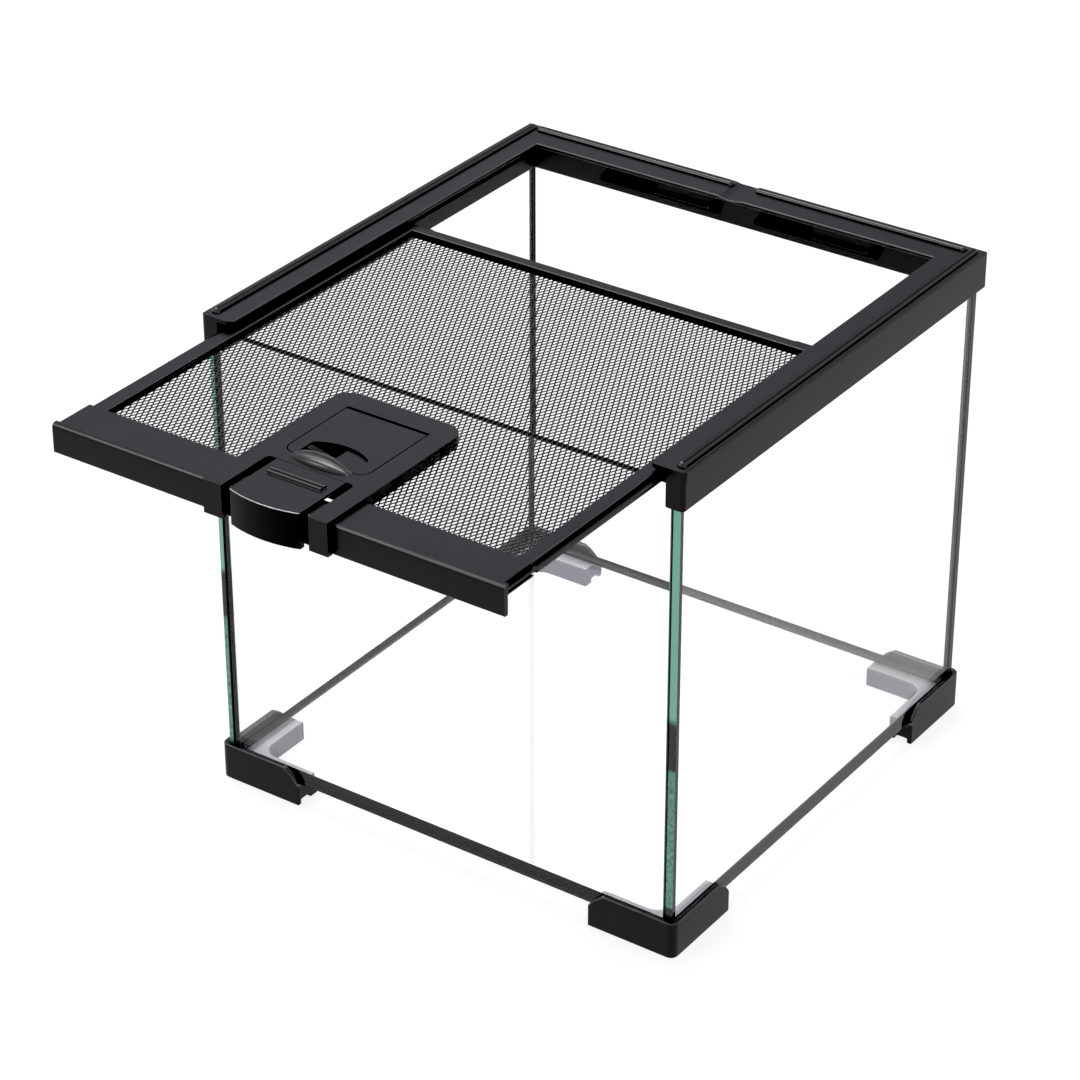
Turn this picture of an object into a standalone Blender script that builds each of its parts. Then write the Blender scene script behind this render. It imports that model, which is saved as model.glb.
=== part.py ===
# Small glass terrarium with a sliding mesh lid, a lid lock, a feeding door and two cable ports.
# Units are metres, +Z is up, the front of the tank faces -Y and the floor is at Z = 0.
# Pieces are drawn in the tank's own frame, with X = 0 and Y = 0 at the middle of the top frame.
# One parent empty then moves the whole object, so that the middle of its outline is the origin.
import math

import bmesh
import bpy
from mathutils import Vector

# Clearances
FIT = 0.0003
SLIDE_FIT = 0.0004
RUNNING_FIT = 0.0003
HINGE_FIT = 0.0004

# Top frame: one black moulding on three sides of the tank
FRAME_WIDTH = 0.2066
FRAME_DEPTH = 0.2055
FRAME_TOP = 0.1986
SKIRT_HEIGHT = 0.015
FRAME_WALL = 0.0018
INNER_WALL = 0.0021
FRONT_CAP = 0.00095
FLANGE_SIDE = 0.0141
FLANGE_BACK = 0.0155
FLANGE_THICKNESS = 0.0016
FRAME_EDGE = 0.0004
FRAME_FILLET = 0.0008
FLANGE_CORNER = 0.0025
FRAME_CORNER = 0.002
BEAD_WIDTH = 0.004
BEAD_HEIGHT = 0.0016
BEAD_SINK = 0.0002
BEAD_INSET = 0.0039
BEAD_FRONT_SETBACK = 0.0026
BEAD_MIDDLE_GAP = 0.0094
TROUGH_WIDTH = 0.012
TROUGH_DEPTH = 0.0009
LEDGE_WIDTH = 0.0028
LEDGE_THICKNESS = 0.0012
LEDGE_START = 0.0052

# Glass
GLASS = 0.003
GLASS_BOTTOM = 0.0085
GLASS_EDGE = 0.00025
SIDE_PANE_COVER = 0.0018
SEAM = 0.0004
CORNER_FILLET = 0.0004
FLOOR_FILLET = 0.0014

# Feet
FOOT_HEIGHT = 0.0153
FOOT_WALL = 0.0021
FOOT_ARM = 0.0372
FOOT_BASE_WIDTH = 0.012
FOOT_GROOVE_WIDTH = 0.0055
FOOT_GROOVE_DEPTH = 0.002
FOOT_CHAMFER_LENGTH = 0.007
FOOT_CHAMFER_HEIGHT = 0.0064
FOOT_CHAMFER_BOW = 0.0007
FOOT_OUTER_CORNER = 0.003
FOOT_INNER_CORNER = 0.006
FOOT_EDGE = 0.0004

# Cable ports in the back rail, with a sliding shutter each
WINDOW_LENGTH = 0.055
WINDOW_HEIGHT = 0.006
WINDOW_SLANT = 0.0025
WINDOW_CENTRE = 0.0354
WINDOW_RISE = 0.0028
WINDOW_CORNER = 0.0012
PORT_HEIGHT = 0.0052
PORT_OVERLAP = 0.00275
SHUTTER_LENGTH = 0.026
SHUTTER_PLATE = 0.0014
SHUTTER_RUNNER = 0.001
SHUTTER_END_SPACE = 0.0055
SHUTTER_LEDGE_HEIGHT = 0.0008
SHUTTER_TAB_WIDTH = 0.0014
SHUTTER_TAB_HEIGHT = 0.0020

# Lid
LID_OUT = 0.0889
LID_PLAY = 0.0016
LID_RAIL_WIDTH = 0.0057
LID_RAIL_HEIGHT = 0.003
REAR_RAIL_WIDTH = 0.0045
LID_LIP = 0.0025
REAR_LIP = 0.0003
LID_LIP_HEIGHT = 0.0014
LID_UNDER_WEB = 0.0005
LID_EDGE = 0.0003
LID_MESH_GRIP = 0.0022
REAR_TAB_LENGTH = 0.0004
REAR_TAB_WIDTH = 0.0115
BAR_STEP = 0.001
BAR_DEPTH = 0.018
BAR_LEG_HEIGHT = 0.0114
BAR_LEG_THICKNESS = 0.002
BAR_FILLET = 0.0015
BAR_EDGE = 0.0004
BAR_WEB_SETBACK = 0.002
BAR_NOTCH_LENGTH = 0.0085
BAR_END_STEP = 0.0016
BAR_END_DROP = 0.0016
BAR_END_FRONT = 0.0024

# Mesh, drawn coarser than the real 2 mm by 4 mm diamonds
MESH_THICKNESS = 0.0004
MESH_COLUMNS = 17
MESH_ROWS = 9
STRAND_WIDTH = 0.0015

# Latch housing on the lid
LATCH_WIDTH = 0.052
LATCH_LENGTH = 0.0769
LATCH_RISE = 0.0015
LATCH_CORNER = 0.007
LATCH_EDGE = 0.0005
ARM_WIDTH = 0.0079
ARM_FRONT = 0.0023
ARM_DROP = 0.0127
SLOT_WIDTH = 0.0036
CLAMP_MARGIN = 0.001

# Lock tongue, cut free of the housing on three sides and sprung by its own root
TONGUE_LENGTH = 0.0251
TONGUE_BULGE = 0.0023
TONGUE_DROP = 0.0136
TONGUE_EDGE = 0.0004
LUG_WIDTH = 0.016
LUG_LENGTH = 0.004
RIB_LENGTH = 0.0227
RIB_WIDTH = 0.0015
RIB_HEIGHT = 0.0011
RIB_GAP = 0.0005
RIB_SETBACK = 0.0079

# Feeding door in the housing
DOOR_WIDTH = 0.034
DOOR_LENGTH = 0.0359
DOOR_THICKNESS = 0.0015
DOOR_FRONT_CORNER = 0.0042
DOOR_SETBACK = 0.0062
DOOR_RIM = 0.0019
BARREL_RADIUS = 0.0016
DOOR_HEEL = 0.0006
PIN_RADIUS = 0.0006
PIN_SEAT = 0.0026
NOTCH_CORNER_GAP = 0.0002
NOTCH_DEPTH = 0.0056
SCOOP_INSET = 0.0008
SCOOP_SIDE = 0.0096
SCOOP_BOW = 0.0037
SCOOP_DEPTH = 0.0036
SCOOP_WALL = 0.0007
SCOOP_FRONT_HEIGHT = 0.0011
SCOOP_SPLIT = 0.0007
PANEL_DEPTH = 0.0009
CATCH_LENGTH = 0.0084
CATCH_WIDTH = 0.0026
CATCH_THICKNESS = 0.0008
CATCH_START = 0.0056
CATCH_END = 0.0088
CATCH_FALL = 0.0019
DOME_INSET = 0.0003
DOME_FRONT = 0.0042
DOME_TIP = 0.0027
DOME_RIDGE = 0.0029
DOME_HEIGHT = 0.0020
DOME_EDGE = 0.00006

# The door's front edge bulges back around the dome: shares of half the notch's width and of its depth
NOTCH_SHAPE = ((-1.0, 0.0), (-0.95, 0.33), (-0.88, 0.58), (-0.75, 0.82), (-0.48, 0.97), (-0.16, 1.0),
               (0.12, 0.89), (0.41, 0.60), (0.73, 0.29), (1.0, 0.0))

# Heights, worked out from the sizes above
skirt_bottom = FRAME_TOP - SKIRT_HEIGHT
flange_under = FRAME_TOP - FLANGE_THICKNESS
bar_top = flange_under - SLIDE_FIT
lid_rail_top = bar_top - BAR_STEP
lid_bottom = lid_rail_top - LID_RAIL_HEIGHT
mesh_bottom = lid_bottom + LID_UNDER_WEB + FIT
mesh_top = mesh_bottom + MESH_THICKNESS
ledge_top = lid_bottom - FIT
front_pane_top = lid_bottom - SLIDE_FIT
side_pane_top = flange_under - SIDE_PANE_COVER
latch_top = bar_top + LATCH_RISE
latch_bottom = mesh_top + FIT
arm_bottom = bar_top + FIT

# Widths, from the middle of the tank
frame_x = FRAME_WIDTH / 2
glass_x = frame_x - FRAME_WALL - FIT
glass_inner_x = glass_x - GLASS
rail_x = glass_inner_x - FIT - INNER_WALL
lid_x = rail_x - LID_PLAY
butt_gap = 2 * FIT + SEAM
pane_end_x = glass_inner_x - butt_gap

# Depths
frame_front = -FRAME_DEPTH / 2
frame_back = FRAME_DEPTH / 2
glass_front = frame_front + FRONT_CAP + FIT
glass_front_inner = glass_front + GLASS
glass_back = frame_back - FRAME_WALL - FIT
glass_back_inner = glass_back - GLASS
rail_back = glass_back_inner - FIT - INNER_WALL
bar_face_closed = glass_front - SLIDE_FIT - BAR_LEG_THICKNESS
bar_face = bar_face_closed - LID_OUT
bar_back = bar_face + BAR_DEPTH
lid_rear = rail_back - FIT - REAR_TAB_LENGTH - LID_OUT
latch_front = bar_face - FIT - ARM_FRONT
latch_back = latch_front + LATCH_LENGTH
tongue_root = latch_front + TONGUE_LENGTH
door_front = tongue_root + DOOR_SETBACK
door_back = door_front + DOOR_LENGTH
hinge_y = door_back - BARREL_RADIUS
hinge_z = latch_top - BARREL_RADIUS
notch_width = DOOR_WIDTH - 2 * (DOOR_FRONT_CORNER + NOTCH_CORNER_GAP)
scoop_width = notch_width - 2 * SCOOP_INSET
dome_width = notch_width - 2 * DOME_INSET
tongue_tip = latch_front - TONGUE_BULGE
tongue_x = LATCH_WIDTH / 2 - ARM_WIDTH - SLOT_WIDTH
foot_x = glass_x + FIT + FOOT_WALL
foot_front = glass_front - FIT - FOOT_WALL
foot_back = glass_back + FIT + FOOT_WALL
foot_base_top = GLASS_BOTTOM - FIT

ARC_STEPS = 5
ROUND_STEPS = 16
SINK = 0.0005
OVERCUT = 0.001


def clear_scene():
    for item in list(bpy.data.objects):
        bpy.data.objects.remove(item, do_unlink=True)


def make_material(name, colour, roughness, metallic=0.0, transmission=0.0):
    material = bpy.data.materials.new(name)
    material.use_nodes = True
    shader = material.node_tree.nodes["Principled BSDF"]
    shader.inputs["Base Color"].default_value = (*colour, 1.0)
    shader.inputs["Roughness"].default_value = roughness
    shader.inputs["Metallic"].default_value = metallic
    shader.inputs["Transmission Weight"].default_value = transmission
    return material


def make_empty(name, place, parent=None):
    """An empty at a place of the tank's frame; it keeps that place for its children."""
    empty = bpy.data.objects.new(name, None)
    bpy.context.scene.collection.objects.link(empty)
    seat = Vector(place)
    if parent is None:
        empty.location = seat
        empty["seat"] = (0.0, 0.0, 0.0)
    else:
        empty.parent = parent
        empty.location = seat - Vector(parent["seat"])
        empty["seat"] = tuple(seat)
    return empty


def add_piece(name, shape, material, parent):
    """Turn a bmesh drawn in the tank's frame into an object whose origin is its parent's seat."""
    shape.normal_update()
    bmesh.ops.recalc_face_normals(shape, faces=shape.faces)
    bmesh.ops.translate(shape, verts=shape.verts, vec=-Vector(parent["seat"]))
    mesh = bpy.data.meshes.new(name)
    shape.to_mesh(mesh)
    shape.free()
    piece = bpy.data.objects.new(name, mesh)
    bpy.context.scene.collection.objects.link(piece)
    piece.parent = parent
    if material is not None:
        own = material.copy()
        own.name = name + "_" + material.name
        mesh.materials.append(own)
    return piece


def add_tool(name, shape, parent):
    """A shape that only serves a Boolean modifier."""
    tool = add_piece(name, shape, None, parent)
    tool.hide_render = True
    tool.display_type = "WIRE"
    return tool


def combine(piece, operation, tools):
    for tool in tools:
        step = piece.modifiers.new(operation.title() + "_" + tool.name, "BOOLEAN")
        step.operation = operation
        step.solver = "EXACT"
        step.object = tool


def round_edges(piece, width, segments=1, angle=40.0):
    step = piece.modifiers.new("Rounded_edges", "BEVEL")
    step.width = width
    step.segments = segments
    step.limit_method = "ANGLE"
    step.angle_limit = math.radians(angle)
    step.use_clamp_overlap = True


def box(low, high):
    """A closed box between two opposite corners, given in any order."""
    shape = bmesh.new()
    bmesh.ops.create_cube(shape, size=1.0)
    for vertex in shape.verts:
        for axis in range(3):
            vertex.co[axis] = low[axis] if vertex.co[axis] < 0 else high[axis]
    return shape


def prism(outline, start, end, axis):
    """A flat outline pushed along one axis: its points hold the other two coordinates, in order."""
    shape = bmesh.new()
    rings = []
    for level in (start, end):
        ring = []
        for first, second in outline:
            place = [first, second]
            place.insert("xyz".index(axis), level)
            ring.append(shape.verts.new(place))
        rings.append(ring)
    shape.faces.new(rings[0])
    shape.faces.new(list(reversed(rings[1])))
    join_rings(shape, rings)
    return shape


def join_rings(shape, rings):
    for near, far in zip(rings, rings[1:]):
        count = len(near)
        for index in range(count):
            after = (index + 1) % count
            shape.faces.new((near[index], far[index], far[after], near[after]))


def sweep(sections):
    """A closed solid through a row of sections that have the same number of points."""
    shape = bmesh.new()
    rings = [[shape.verts.new(place) for place in section] for section in sections]
    shape.faces.new(rings[0])
    shape.faces.new(list(reversed(rings[-1])))
    join_rings(shape, rings)
    return shape


def arc(centre, radius, start, end, steps=ARC_STEPS):
    """Points of an arc between two angles in degrees, both ends included."""
    points = []
    for step in range(steps + 1):
        angle = math.radians(start + (end - start) * step / steps)
        points.append((centre[0] + radius * math.cos(angle), centre[1] + radius * math.sin(angle)))
    return points


def rounded_rectangle(low, high, radii):
    """A rectangle with its own radius at each corner: low-low, high-low, high-high, low-high."""
    corners = ((low[0], low[1], 1, 1), (high[0], low[1], -1, 1),
               (high[0], high[1], -1, -1), (low[0], high[1], 1, -1))
    points = []
    for number, (corner, radius) in enumerate(zip(corners, radii)):
        if radius <= 0:
            points.append((corner[0], corner[1]))
            continue
        centre = (corner[0] + corner[2] * radius, corner[1] + corner[3] * radius)
        start = 180 + 90 * number
        points.extend(arc(centre, radius, start, start + 90))
    return points


def rod(centre, radius, start, end, steps=ROUND_STEPS):
    """A round rod along X, whose centre is given in Y and Z."""
    ring = arc(centre, radius, 0, 360, steps)[:-1]
    return prism(ring, start, end, "x")


def corner_rounding(x, y, x_way, y_way, radius, low, high):
    """What a rounded upright edge takes off a square one; the ways point into the material."""
    centre = (x + x_way * radius, y + y_way * radius)
    outline = [(x - x_way * OVERCUT, y - y_way * OVERCUT)]
    outline.append((x - x_way * OVERCUT, centre[1]))
    for step in range(ARC_STEPS + 1):
        turn = math.radians(90 * step / ARC_STEPS)
        outline.append((centre[0] - x_way * radius * math.cos(turn),
                        centre[1] - y_way * radius * math.sin(turn)))
    outline.append((centre[0], y - y_way * OVERCUT))
    return prism(outline, low, high, "z")


def u_sections(profile, half_width, back, front, extra=()):
    """Sections of a bar that runs back on the left, across the back and forward on the right.

    The profile holds side inset, back inset and height. Extra sections on the back are an X
    place and how far the top points sink there.
    """
    top = max(point[2] for point in profile)
    sections = [[(-half_width + side, front, height) for side, rear, height in profile]]
    sections.append([(-half_width + side, back - rear, height) for side, rear, height in profile])
    for place, sink in extra:
        section = []
        for side, rear, height in profile:
            lowered = sink if height > top - FLANGE_THICKNESS / 2 else 0.0
            section.append((place, back - rear, height - lowered))
        sections.append(section)
    sections.append([(half_width - side, back - rear, height) for side, rear, height in profile])
    sections.append([(half_width - side, front, height) for side, rear, height in profile])
    return sections


def capsule(start, end, radius, height, sink):
    """A long half-round bead with round ends, lying flat; its middle is sunk into what carries it."""
    shape = bmesh.new()
    bmesh.ops.create_uvsphere(shape, u_segments=12, v_segments=9, radius=1.0)
    run = Vector(end) - Vector(start)
    along = run.normalized()
    across = Vector((-along.y, along.x, 0.0))
    for vertex in shape.verts:
        flat = vertex.co.copy()
        side = 1.0 if flat.z > 0 else -1.0
        reach = run.length / 2 - radius
        place = (Vector(start) + Vector(end)) / 2
        place += along * (side * reach + flat.z * radius)
        place += across * (flat.x * radius)
        place.z += flat.y * (height + sink) - sink
        vertex.co = place
    return shape


def build_top_frame(parent, material):
    """The moulding that caps the side and back panes and guides the lid under its flange."""
    edge = FRAME_EDGE
    wall = frame_x - rail_x
    outer = [(edge, skirt_bottom), (0.0, skirt_bottom + edge)]
    for inset, height in arc((FRAME_FILLET, FRAME_TOP - FRAME_FILLET), FRAME_FILLET, 180, 90, 3):
        outer.append((inset, height))
    profile = [(inset, inset, height) for inset, height in outer]
    for inset_back, height in ((edge, FRAME_TOP), (0.0, FRAME_TOP - edge),
                               (0.0, flange_under + edge / 2), (edge / 2, flange_under)):
        profile.append((FLANGE_SIDE - inset_back, FLANGE_BACK - inset_back, height))
    for inset, height in ((wall, flange_under), (wall, skirt_bottom + edge), (wall - edge, skirt_bottom)):
        profile.append((inset, inset, height))
    half_trough = TROUGH_WIDTH / 2
    trough = ((-half_trough, 0.0), (-half_trough * 0.55, TROUGH_DEPTH * 0.6), (0.0, TROUGH_DEPTH),
              (half_trough * 0.55, TROUGH_DEPTH * 0.6), (half_trough, 0.0))
    frame = add_piece("top_frame", sweep(u_sections(profile, frame_x, frame_back, frame_front, trough)),
                      material, parent)

    ledge_embed = INNER_WALL / 3
    for side, word in ((-1, "left"), (1, "right")):
        ledge = box((side * (rail_x - LEDGE_WIDTH), frame_front + LEDGE_START, ledge_top - LEDGE_THICKNESS),
                    (side * (rail_x + ledge_embed), rail_back - FIT, ledge_top))
        bead_x = side * (frame_x - BEAD_INSET)
        bead = capsule((bead_x, frame_front + BEAD_FRONT_SETBACK, FRAME_TOP),
                       (bead_x, frame_back - BEAD_INSET + BEAD_WIDTH / 2, FRAME_TOP),
                       BEAD_WIDTH / 2, BEAD_HEIGHT, BEAD_SINK)
        back_y = frame_back - BEAD_INSET
        back_bead = capsule((side * BEAD_MIDDLE_GAP / 2, back_y, FRAME_TOP),
                            (side * (frame_x - BEAD_INSET - BEAD_WIDTH * 0.6), back_y, FRAME_TOP),
                            BEAD_WIDTH / 2, BEAD_HEIGHT, BEAD_SINK)
        combine(frame, "UNION", [add_tool("ledge_" + word, ledge, parent),
                                 add_tool("side_bead_" + word, bead, parent),
                                 add_tool("back_bead_" + word, back_bead, parent)])

    channel_top = side_pane_top + FIT
    near = FRAME_WALL
    far = frame_x - glass_inner_x + FIT
    channel = [(near, near, skirt_bottom - OVERCUT), (near, near, channel_top),
               (far, far, channel_top), (far, far, skirt_bottom - OVERCUT)]
    channel_shape = sweep(u_sections(channel, frame_x, frame_back, frame_front + FRONT_CAP))
    cuts = [add_tool("glass_channel", channel_shape, parent)]
    for side, word in ((-1, "left"), (1, "right")):
        slot = box((side * (rail_x - OVERCUT), frame_front + FRONT_CAP, skirt_bottom - OVERCUT),
                   (side * (glass_inner_x + OVERCUT), glass_front_inner + FIT, front_pane_top + FIT))
        cuts.append(add_tool("front_pane_slot_" + word, slot, parent))
        flange_corner = corner_rounding(side * (frame_x - FLANGE_SIDE), frame_front, side, 1,
                                        FLANGE_CORNER, flange_under - OVERCUT, FRAME_TOP + OVERCUT)
        cuts.append(add_tool("flange_corner_" + word, flange_corner, parent))
        frame_corner = corner_rounding(side * frame_x, frame_front, -side, 1,
                                       FRAME_CORNER, skirt_bottom - OVERCUT, FRAME_TOP + OVERCUT)
        cuts.append(add_tool("frame_corner_" + word, frame_corner, parent))
        cuts.extend(cut_cable_port(side, word, parent))
    combine(frame, "DIFFERENCE", cuts)
    return frame


def window_place(side):
    """Low corner of the slanted window on one side of the middle: its X and its height."""
    left = side * WINDOW_CENTRE - WINDOW_LENGTH / 2
    return left, skirt_bottom + WINDOW_RISE


def cut_cable_port(side, word, parent):
    """The long slanted window in the inner wall, and the port behind the closed shutter."""
    left, low = window_place(side)
    high = low + WINDOW_HEIGHT
    slant = WINDOW_SLANT / 2
    outline = arc((left - slant + WINDOW_CORNER, low + WINDOW_CORNER), WINDOW_CORNER, 180, 270, 3)
    outline += [(left + WINDOW_LENGTH - slant, low), (left + WINDOW_LENGTH + slant, high)]
    outline += [(left + slant, high)]
    inner = prism(outline, rail_back - OVERCUT, glass_back_inner + OVERCUT, "y")
    shutter_start = left + WINDOW_LENGTH - SHUTTER_END_SPACE - SHUTTER_LENGTH
    port_low = (shutter_start + PORT_OVERLAP, low + (WINDOW_HEIGHT - PORT_HEIGHT) / 2)
    port_high = (shutter_start + SHUTTER_LENGTH - PORT_OVERLAP, port_low[1] + PORT_HEIGHT)
    port_outline = rounded_rectangle(port_low, port_high, [WINDOW_CORNER] * 4)
    outer = prism(port_outline, glass_back - OVERCUT, frame_back + OVERCUT, "y")
    return [add_tool("cable_window_" + word, inner, parent), add_tool("cable_port_" + word, outer, parent)]


def build_shutter(side, word, parent, material):
    """A plate that slides behind the window, with a low ledge and a grip tab that stand in it."""
    left, low = window_place(side)
    right = left + WINDOW_LENGTH - SHUTTER_END_SPACE
    start = right - SHUTTER_LENGTH
    front = glass_back_inner
    back = glass_back
    bottom = low + FIT / 2
    top = side_pane_top
    runner = SHUTTER_RUNNER
    plate = front + SHUTTER_PLATE
    ledge_front = rail_back + INNER_WALL / 4
    ledge_low = low + FIT
    ledge_high = ledge_low + SHUTTER_LEDGE_HEIGHT
    outline = [(front, bottom), (back, bottom), (back, bottom + runner), (plate, bottom + runner),
               (plate, top - runner), (back, top - runner), (back, top), (front, top),
               (front, ledge_high), (ledge_front, ledge_high), (ledge_front, ledge_low), (front, ledge_low)]
    seat = make_empty("shutter_axis_" + word, ((start + right) / 2, (front + back) / 2, (bottom + top) / 2), parent)
    shutter = add_piece("cable_shutter_" + word, prism(outline, start, right, "x"), material, seat)
    tab = box((right - SHUTTER_TAB_WIDTH - FIT, rail_back, ledge_low + FIT),
              (right - FIT, front + SHUTTER_PLATE / 2, ledge_low + SHUTTER_TAB_HEIGHT))
    combine(shutter, "UNION", [add_tool("shutter_tab_" + word, tab, seat)])
    return shutter


def build_glass(parent, material):
    """Five float glass panes: the back runs full width behind the sides, and the front and floor stand between."""
    panes = []
    for side, word in ((-1, "left"), (1, "right")):
        panes.append(("pane_" + word, (side * glass_x, glass_front, GLASS_BOTTOM),
                      (side * glass_inner_x, glass_back_inner - butt_gap, side_pane_top)))
    panes.append(("pane_front", (-pane_end_x, glass_front, GLASS_BOTTOM),
                  (pane_end_x, glass_front_inner, front_pane_top)))
    back_top = skirt_bottom + WINDOW_RISE - FIT
    panes.append(("pane_back", (-glass_x, glass_back_inner, GLASS_BOTTOM), (glass_x, glass_back, back_top)))
    panes.append(("pane_floor", (-pane_end_x, glass_front_inner + butt_gap, GLASS_BOTTOM),
                  (pane_end_x, glass_back_inner - butt_gap, GLASS_BOTTOM + GLASS)))
    for name, low, high in panes:
        pane = add_piece(name, box(low, high), material, parent)
        round_edges(pane, GLASS_EDGE)


def seam_profile(wall, pane_face, pane_start, fillet):
    """A silicone seam's outline: a strip in the butt joint and a hollow fillet in the corner.

    It is drawn in two coordinates. The wall is at 0 of the first, and the butted pane fills the
    second from pane_start to pane_face.
    """
    strip_near = wall + FIT
    strip_far = strip_near + SEAM
    level = pane_face + FIT
    points = [(strip_near, pane_start), (strip_far, pane_start), (strip_far, level)]
    centre = (strip_near + fillet, level + fillet)
    points += arc(centre, fillet, 270, 180, 3)
    return points


def build_seams(parent, material):
    """Black silicone in the four upright corners and round the floor pane."""
    floor_top = GLASS_BOTTOM + GLASS
    upright_low = floor_top + 2 * FIT + FLOOR_FILLET
    upright_high = skirt_bottom - FIT
    for x_side, x_word in ((-1, "left"), (1, "right")):
        for front, y_word in ((True, "front"), (False, "back")):
            outline = []
            for across, deep in seam_profile(0.0, GLASS, 0.0, CORNER_FILLET):
                if front:
                    outline.append((x_side * (glass_inner_x - across), glass_front + deep))
                else:
                    outline.append((x_side * (glass_x - deep), glass_back_inner - across))
            shape = prism(outline, upright_low, upright_high, "z")
            add_piece("seam_" + y_word + "_" + x_word, shape, material, parent)
    section = seam_profile(0.0, floor_top, GLASS_BOTTOM, FLOOR_FILLET)
    reach = FIT + FLOOR_FILLET + FIT
    for front, word in ((True, "front"), (False, "back")):
        outline = []
        for across, height in section:
            y = glass_front_inner + across if front else glass_back_inner - across
            outline.append((y, height))
        half = glass_inner_x - FIT
        add_piece("seam_floor_" + word, prism(outline, -half, half, "x"), material, parent)
    for side, word in ((-1, "left"), (1, "right")):
        outline = [(side * (glass_inner_x - across), height) for across, height in section]
        shape = prism(outline, glass_front_inner + reach, glass_back_inner - reach, "y")
        add_piece("seam_floor_" + word, shape, material, parent)


def build_foot(x_side, y_side, name, parent, material):
    """A moulded corner shoe: a thick L-shaped base under the glass and a low wall outside it."""
    corner_x = foot_x
    corner_y = foot_front if y_side < 0 else foot_back

    def inward_x(distance):
        return x_side * (corner_x - distance)

    def inward_y(distance):
        return corner_y - y_side * distance

    width = FOOT_BASE_WIDTH
    inner = FOOT_INNER_CORNER
    outline = [(0.0, 0.0), (FOOT_ARM, 0.0), (FOOT_ARM, width)]
    outline += arc((width + inner, width + inner), inner, 270, 180)
    outline += [(width, FOOT_ARM), (0.0, FOOT_ARM)]
    shape = prism([(inward_x(a), inward_y(b)) for a, b in outline], 0.0, foot_base_top, "z")
    foot = add_piece(name, shape, material, parent)

    wall = [(0.0, 0.0), (FOOT_ARM, 0.0), (FOOT_ARM, FOOT_WALL), (FOOT_WALL, FOOT_WALL),
            (FOOT_WALL, FOOT_ARM), (0.0, FOOT_ARM)]
    rim = prism([(inward_x(a), inward_y(b)) for a, b in wall], FOOT_GROOVE_DEPTH, FOOT_HEIGHT, "z")
    combine(foot, "UNION", [add_tool(name + "_rim", rim, parent)])

    end = FOOT_ARM
    corner = []
    slope = Vector((FOOT_CHAMFER_LENGTH, -FOOT_CHAMFER_HEIGHT))
    bulge = Vector((FOOT_CHAMFER_HEIGHT, FOOT_CHAMFER_LENGTH)).normalized() * FOOT_CHAMFER_BOW
    for step in range(ARC_STEPS + 1):
        share = step / ARC_STEPS
        point = Vector((end - FOOT_CHAMFER_LENGTH, FOOT_HEIGHT)) + slope * share
        point += bulge * 4 * share * (1 - share)
        corner.append((min(point.x, end), min(point.y, FOOT_HEIGHT)))
    corner += [(end + OVERCUT, FOOT_HEIGHT - FOOT_CHAMFER_HEIGHT), (end + OVERCUT, FOOT_HEIGHT + OVERCUT),
               (end - FOOT_CHAMFER_LENGTH, FOOT_HEIGHT + OVERCUT)]
    across = FOOT_WALL + OVERCUT
    chamfer_x = prism([(inward_x(a), z) for a, z in corner], inward_y(-OVERCUT), inward_y(across), "y")
    chamfer_y = prism([(inward_y(a), z) for a, z in corner], inward_x(-OVERCUT), inward_x(across), "x")

    near = FOOT_WALL
    far = FOOT_WALL + FOOT_GROOVE_WIDTH
    reach = FOOT_ARM + OVERCUT
    groove = [(near, near), (reach, near), (reach, far), (far, far), (far, reach), (near, reach)]
    groove_shape = prism([(inward_x(a), inward_y(b)) for a, b in groove], -OVERCUT, FOOT_GROOVE_DEPTH, "z")
    combine(foot, "DIFFERENCE", [add_tool(name + "_chamfer_x", chamfer_x, parent),
                                 add_tool(name + "_chamfer_y", chamfer_y, parent),
                                 add_tool(name + "_groove", groove_shape, parent)])
    rounding = corner_rounding(inward_x(0.0), inward_y(0.0), -x_side, -y_side, FOOT_OUTER_CORNER,
                               -OVERCUT, FOOT_HEIGHT + OVERCUT)
    combine(foot, "DIFFERENCE", [add_tool(name + "_corner", rounding, parent)])
    round_edges(foot, FOOT_EDGE)


def build_lid_frame(parent, material):
    """Side and rear members of the lid in one moulding, grooved inside to hold the mesh."""
    edge = LID_EDGE
    web_top = lid_bottom + LID_UNDER_WEB
    groove_top = mesh_top + FIT
    insets = []
    for lip, width in ((LID_LIP, LID_RAIL_WIDTH), (REAR_LIP, REAR_RAIL_WIDTH)):
        rail = lip + width
        grip = rail - LID_MESH_GRIP
        insets.append((edge, 0.0, 0.0, lip, lip, lip + edge, rail - edge, rail, rail, grip, grip, rail, rail))
    heights = (lid_bottom, lid_bottom + edge, lid_bottom + LID_LIP_HEIGHT, lid_bottom + LID_LIP_HEIGHT,
               lid_rail_top - edge, lid_rail_top, lid_rail_top, lid_rail_top - edge, groove_top, groove_top,
               web_top, web_top, lid_bottom)
    profile = list(zip(insets[0], insets[1], heights))
    shape = sweep(u_sections(profile, lid_x, lid_rear, bar_back + FIT))
    frame = add_piece("lid_frame", shape, material, parent)
    for side, word in ((-1, "left"), (1, "right")):
        outer = lid_x - LID_LIP - edge
        tab = box((side * outer, lid_rear - REAR_LIP - SINK, lid_bottom + edge),
                  (side * (outer - REAR_TAB_WIDTH), lid_rear + REAR_TAB_LENGTH, lid_rail_top - edge))
        combine(frame, "UNION", [add_tool("rear_tab_" + word, tab, parent)])


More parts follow.
